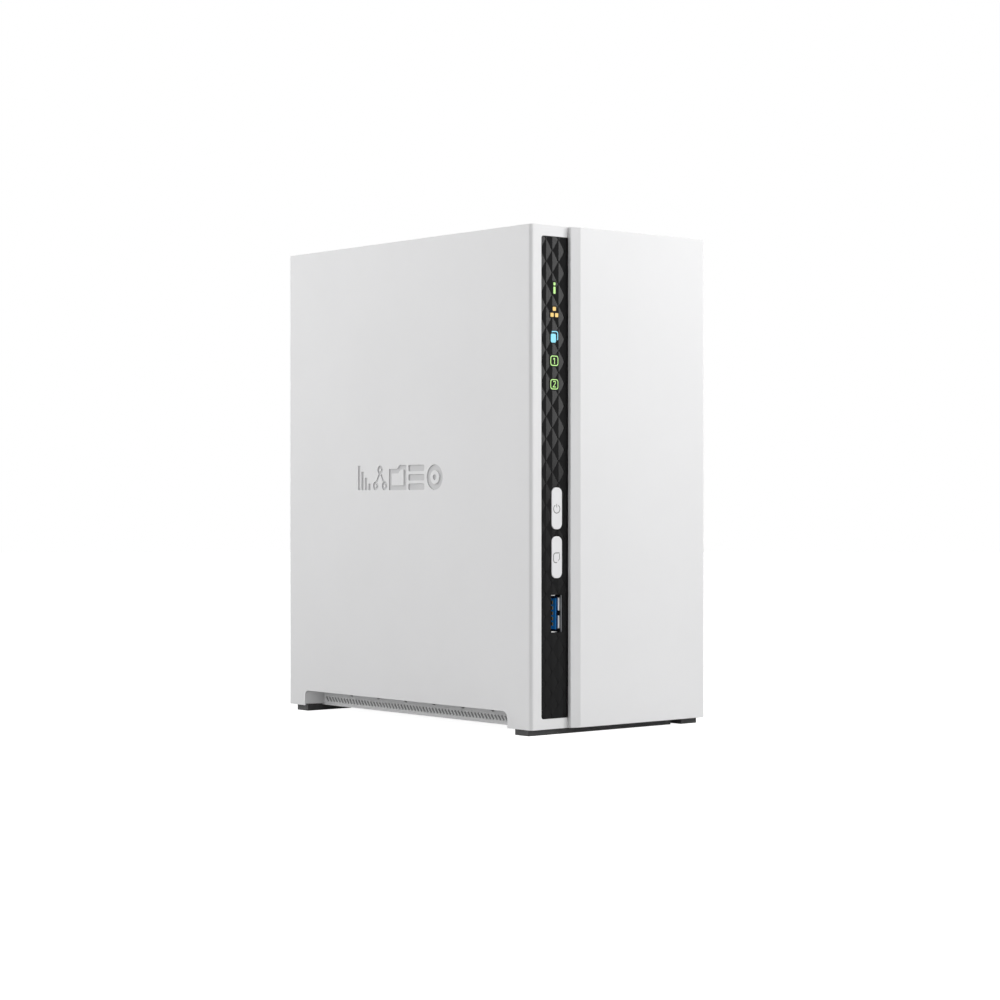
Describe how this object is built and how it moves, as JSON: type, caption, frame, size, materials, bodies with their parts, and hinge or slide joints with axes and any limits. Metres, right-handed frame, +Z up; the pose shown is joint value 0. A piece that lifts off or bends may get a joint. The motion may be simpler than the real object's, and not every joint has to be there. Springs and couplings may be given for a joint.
{
  "type": "network attached storage",
  "caption": "Upright desktop network attached storage: white casing with a sliding access cover, black indicator strip with keys and a USB socket, drives, mainboard and rear fan inside.",
  "frame": {"origin": "on the floor, under the middle of the object's outline", "axes": "+Z up; the front panel faces -Y; the left side seen from the front is -X"},
  "size_m": [0.0902, 0.1562, 0.1886],
  "materials": {
    "shell_white": "satin",
    "button_white": "satin",
    "strip_black": "gloss",
    "light_green": "gloss",
    "light_amber": "gloss",
    "light_cyan": "gloss",
    "foot_rubber": "matte",
    "board_green": "satin",
    "part_black": "matte",
    "fan_black": "satin",
    "usb_blue": "satin",
    "contact_gold": "polished",
    "steel": "satin",
    "bright_steel": "polished",
    "cast_alloy": "cast",
    "fin_alloy": "satin",
    "disc_mirror": "polished",
    "cable_black": "matte"
  },
  "bodies": {
    "casing": {"backplane_board": "board_green", "backplane_socket": "part_black", "board_chips": "part_black", "button_switches": "part_black", "buzzer": "part_black", "capacitors": "part_black", "casing_feet": "foot_rubber", "coin_cell": "bright_steel", "copy_light": "light_cyan", "drive_1_casting": "cast_alloy", "drive_1_circuit": "board_green", "drive_1_lid": "steel", "drive_1_light": "light_green", "drive_2_casting": "cast_alloy", "drive_2_circuit": "board_green", "drive_2_lid": "steel", "drive_2_light": "light_green", "drive_cage": "steel", "drive_screws": "steel", "drive_sockets": "part_black", "fan_cable": "cable_black", "fan_frame": "fan_black", "fan_guard": "bright_steel", "fan_header": "part_black", "fan_screws": "part_black", "heatsink": "fin_alloy", "indicator_leds": "part_black", "indicator_strip": "strip_black", "inner_screws": "steel", "lan_contacts": "contact_gold", "lan_jack": "bright_steel", "main_casing": "shell_white", "mainboard": "board_green", "memory_chips": "part_black", "network_light": "light_amber", "power_inlet": "part_black", "processor": "part_black", "rear_panel": "shell_white", "reset_switch": "part_black", "status_light": "light_green", "usb_front_contacts": "contact_gold", "usb_front_shell": "bright_steel", "usb_front_tongue": "usb_blue", "usb_rear_shells": "bright_steel", "usb_rear_tongues": "part_black"},
    "access_cover": {"side_cover": "shell_white", "front_panel": "shell_white", "cover_feet": "foot_rubber"},
    "power_key": {"power_button": "button_white", "power_plunger": "part_black"},
    "copy_key": {"copy_button": "button_white", "copy_plunger": "part_black"},
    "reset_key": {"reset_plunger": "part_black"},
    "fan_wheel": {"fan_rotor": "fan_black"},
    "drive_1_discs": {"drive_1_platters": "disc_mirror"},
    "drive_2_discs": {"drive_2_platters": "disc_mirror"},
    "drive_1_heads": {"drive_1_arm": "fin_alloy"},
    "drive_2_heads": {"drive_2_arm": "fin_alloy"},
    "thumb_knob_1": {"thumbscrew_1": "bright_steel"},
    "thumb_knob_2": {"thumbscrew_2": "bright_steel"}
  },
  "joints": [
    {"name": "cover_slide", "type": "slide", "parent": "casing", "child": "access_cover", "axis": [0, -1, 0], "range_m": [0, 0.165]},
    {"name": "power_press", "type": "slide", "parent": "casing", "child": "power_key", "axis": [0, 1, 0], "range_m": [0, 0.0006], "stiffness_N_per_m": 1500, "springref_m": -0.0006},
    {"name": "copy_press", "type": "slide", "parent": "casing", "child": "copy_key", "axis": [0, 1, 0], "range_m": [0, 0.0006], "stiffness_N_per_m": 1500, "springref_m": -0.0006},
    {"name": "reset_press", "type": "slide", "parent": "casing", "child": "reset_key", "axis": [0, -1, 0], "range_m": [0, 0.0004], "stiffness_N_per_m": 1500, "springref_m": -0.0005},
    {"name": "fan_spin", "type": "hinge", "parent": "casing", "child": "fan_wheel", "pos_m": [0.009, 0.0604, 0.1], "axis": [0, 1, 0], "continuous": true},
    {"name": "drive_1_spin", "type": "hinge", "parent": "casing", "child": "drive_1_discs", "pos_m": [-0.0042, -0.0172, 0.1199], "axis": [1, 0, 0], "continuous": true},
    {"name": "drive_1_seek", "type": "hinge", "parent": "casing", "child": "drive_1_heads", "pos_m": [-0.0042, 0.0108, 0.0739], "axis": [1, 0, 0], "range_deg": [0, 20]},
    {"name": "drive_2_spin", "type": "hinge", "parent": "casing", "child": "drive_2_discs", "pos_m": [0.0248, -0.0172, 0.1199], "axis": [1, 0, 0], "continuous": true},
    {"name": "drive_2_seek", "type": "hinge", "parent": "casing", "child": "drive_2_heads", "pos_m": [0.0248, 0.0108, 0.0739], "axis": [1, 0, 0], "range_deg": [0, 20]},
    {"name": "thumbscrew_1_turn", "type": "hinge", "parent": "casing", "child": "thumb_knob_1", "pos_m": [0.039, 0.0745, 0.019], "axis": [0, 1, 0], "continuous": true},
    {"name": "thumbscrew_2_turn", "type": "hinge", "parent": "casing", "child": "thumb_knob_2", "pos_m": [0.039, 0.0745, 0.173], "axis": [0, 1, 0], "continuous": true}
  ]
}
